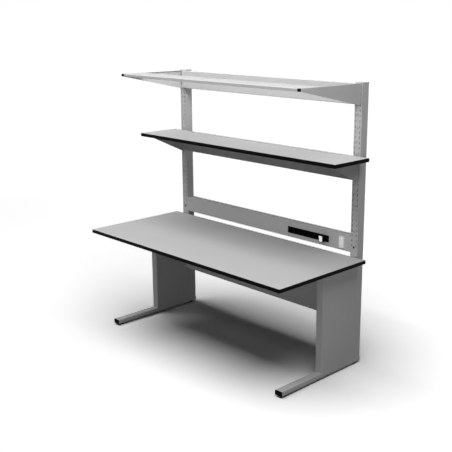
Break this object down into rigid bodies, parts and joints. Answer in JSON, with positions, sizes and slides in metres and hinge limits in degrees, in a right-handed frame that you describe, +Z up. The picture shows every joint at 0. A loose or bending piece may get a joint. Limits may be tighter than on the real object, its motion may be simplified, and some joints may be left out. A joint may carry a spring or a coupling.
{
  "type": "anti-static work table",
  "caption": "Grey work table with C-shaped legs, laminate worktop, slotted rear uprights, power duct with sockets, hook-in shelf and hook-in top frame with a flat lamp.",
  "frame": {"origin": "on the floor under the middle of the table's bounding box", "axes": "+X to the right of the person at the table, +Y from the front edge of the worktop to the uprights, +Z up"},
  "size_m": [1.8, 0.835, 1.785],
  "materials": {
    "paint": "satin grey powder coat",
    "laminate": "matt grey anti-static laminate on board",
    "edging": "matt black edge band",
    "black_plastic": "matt black",
    "grey_plastic": "matt grey",
    "white_plastic": "satin white",
    "opal": "opal light diffuser",
    "steel": "dark steel",
    "nickel": "bright nickel plate"
  },
  "bodies": {
    "base": {"worktop_board": "laminate", "worktop_edge_band": "edging", "foot_tube_left": "paint", "foot_tube_right": "paint", "foot_cap_front_left": "black_plastic", "foot_cap_front_right": "black_plastic", "foot_cap_rear_left": "black_plastic", "foot_cap_rear_right": "black_plastic", "leg_shell_left": "paint", "leg_shell_right": "paint", "leg_inner_cover_left": "paint", "leg_inner_cover_right": "paint", "support_arm_left": "paint", "support_arm_right": "paint", "upright_post_left": "paint", "upright_post_right": "paint", "upright_cap_left": "grey_plastic", "upright_cap_right": "grey_plastic", "slot_rail_left": "paint", "slot_rail_right": "paint", "modesty_panel": "paint", "power_duct": "paint", "power_cover_left": "paint", "power_cover_right": "paint", "socket_surround": "paint", "duct_screw_left": "steel", "duct_screw_right": "steel", "socket_strip": "black_plastic", "socket_1": "black_plastic", "socket_2": "black_plastic", "socket_3": "black_plastic", "socket_4": "black_plastic", "socket_5": "black_plastic", "socket_6": "black_plastic", "switch_housing": "black_plastic", "earth_plate": "nickel", "earth_stud_upper": "nickel", "earth_stud_lower": "nickel"},
    "shelf": {"shelf_board": "laminate", "shelf_edge_band": "edging", "shelf_arm_left": "paint", "shelf_arm_right": "paint", "shelf_beam": "paint"},
    "top_frame": {"frame_arm_left": "paint", "frame_arm_right": "paint", "frame_beam": "paint", "front_rail": "paint", "front_rail_cap_left": "black_plastic", "front_rail_cap_right": "black_plastic", "lamp_housing": "paint", "lamp_diffuser": "opal"},
    "foot_front_left": {"levelling_foot_front_left": "black_plastic"},
    "foot_front_right": {"levelling_foot_front_right": "black_plastic"},
    "foot_rear_left": {"levelling_foot_rear_left": "black_plastic"},
    "foot_rear_right": {"levelling_foot_rear_right": "black_plastic"},
    "rocker": {"switch_rocker": "white_plastic"}
  },
  "joints": [
    {"name": "shelf_lift", "type": "slide", "parent": "base", "child": "shelf", "axis": [0, 0, 1], "range_m": [0, 0.007]},
    {"name": "top_frame_lift", "type": "slide", "parent": "base", "child": "top_frame", "axis": [0, 0, 1], "range_m": [0, 0.007]},
    {"name": "level_front_left", "type": "slide", "parent": "base", "child": "foot_front_left", "axis": [0, 0, -1], "range_m": [0, 0.012]},
    {"name": "level_front_right", "type": "slide", "parent": "base", "child": "foot_front_right", "axis": [0, 0, -1], "range_m": [0, 0.012]},
    {"name": "level_rear_left", "type": "slide", "parent": "base", "child": "foot_rear_left", "axis": [0, 0, -1], "range_m": [0, 0.012]},
    {"name": "level_rear_right", "type": "slide", "parent": "base", "child": "foot_rear_right", "axis": [0, 0, -1], "range_m": [0, 0.012]},
    {"name": "switch_rock", "type": "hinge", "parent": "base", "child": "rocker", "pos_m": [0.562, 0.3254, 0.79], "axis": [-1, 0, 0], "range_deg": [0, 12]}
  ]
}
